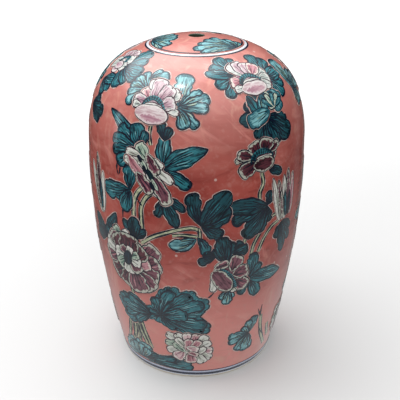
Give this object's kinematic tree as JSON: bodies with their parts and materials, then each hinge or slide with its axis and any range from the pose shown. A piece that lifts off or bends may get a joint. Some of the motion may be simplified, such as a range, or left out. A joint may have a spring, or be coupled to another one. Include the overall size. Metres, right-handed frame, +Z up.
{
  "type": "ginger jar",
  "caption": "Tall lidded porcelain jar with a swelling shoulder, a low domed cap set flush in the mouth and a plain round hole through the cap.",
  "frame": {"origin": "centre of the plane the foot ring rests on", "axes": "+Z up along the jar's axis of revolution; -Y is the side whose painting faces the viewer"},
  "size_m": [0.2038, 0.2038, 0.3198],
  "materials": {
    "painted_porcelain": "glossy glaze over hand painting"
  },
  "bodies": {
    "jar": {"jar_body": "painted_porcelain"},
    "lid": {"lid": "painted_porcelain"}
  },
  "joints": [
    {"name": "lid_lift", "type": "slide", "parent": "jar", "child": "lid", "axis": [0, 0, 1], "range_m": [0, 0.06]}
  ]
}
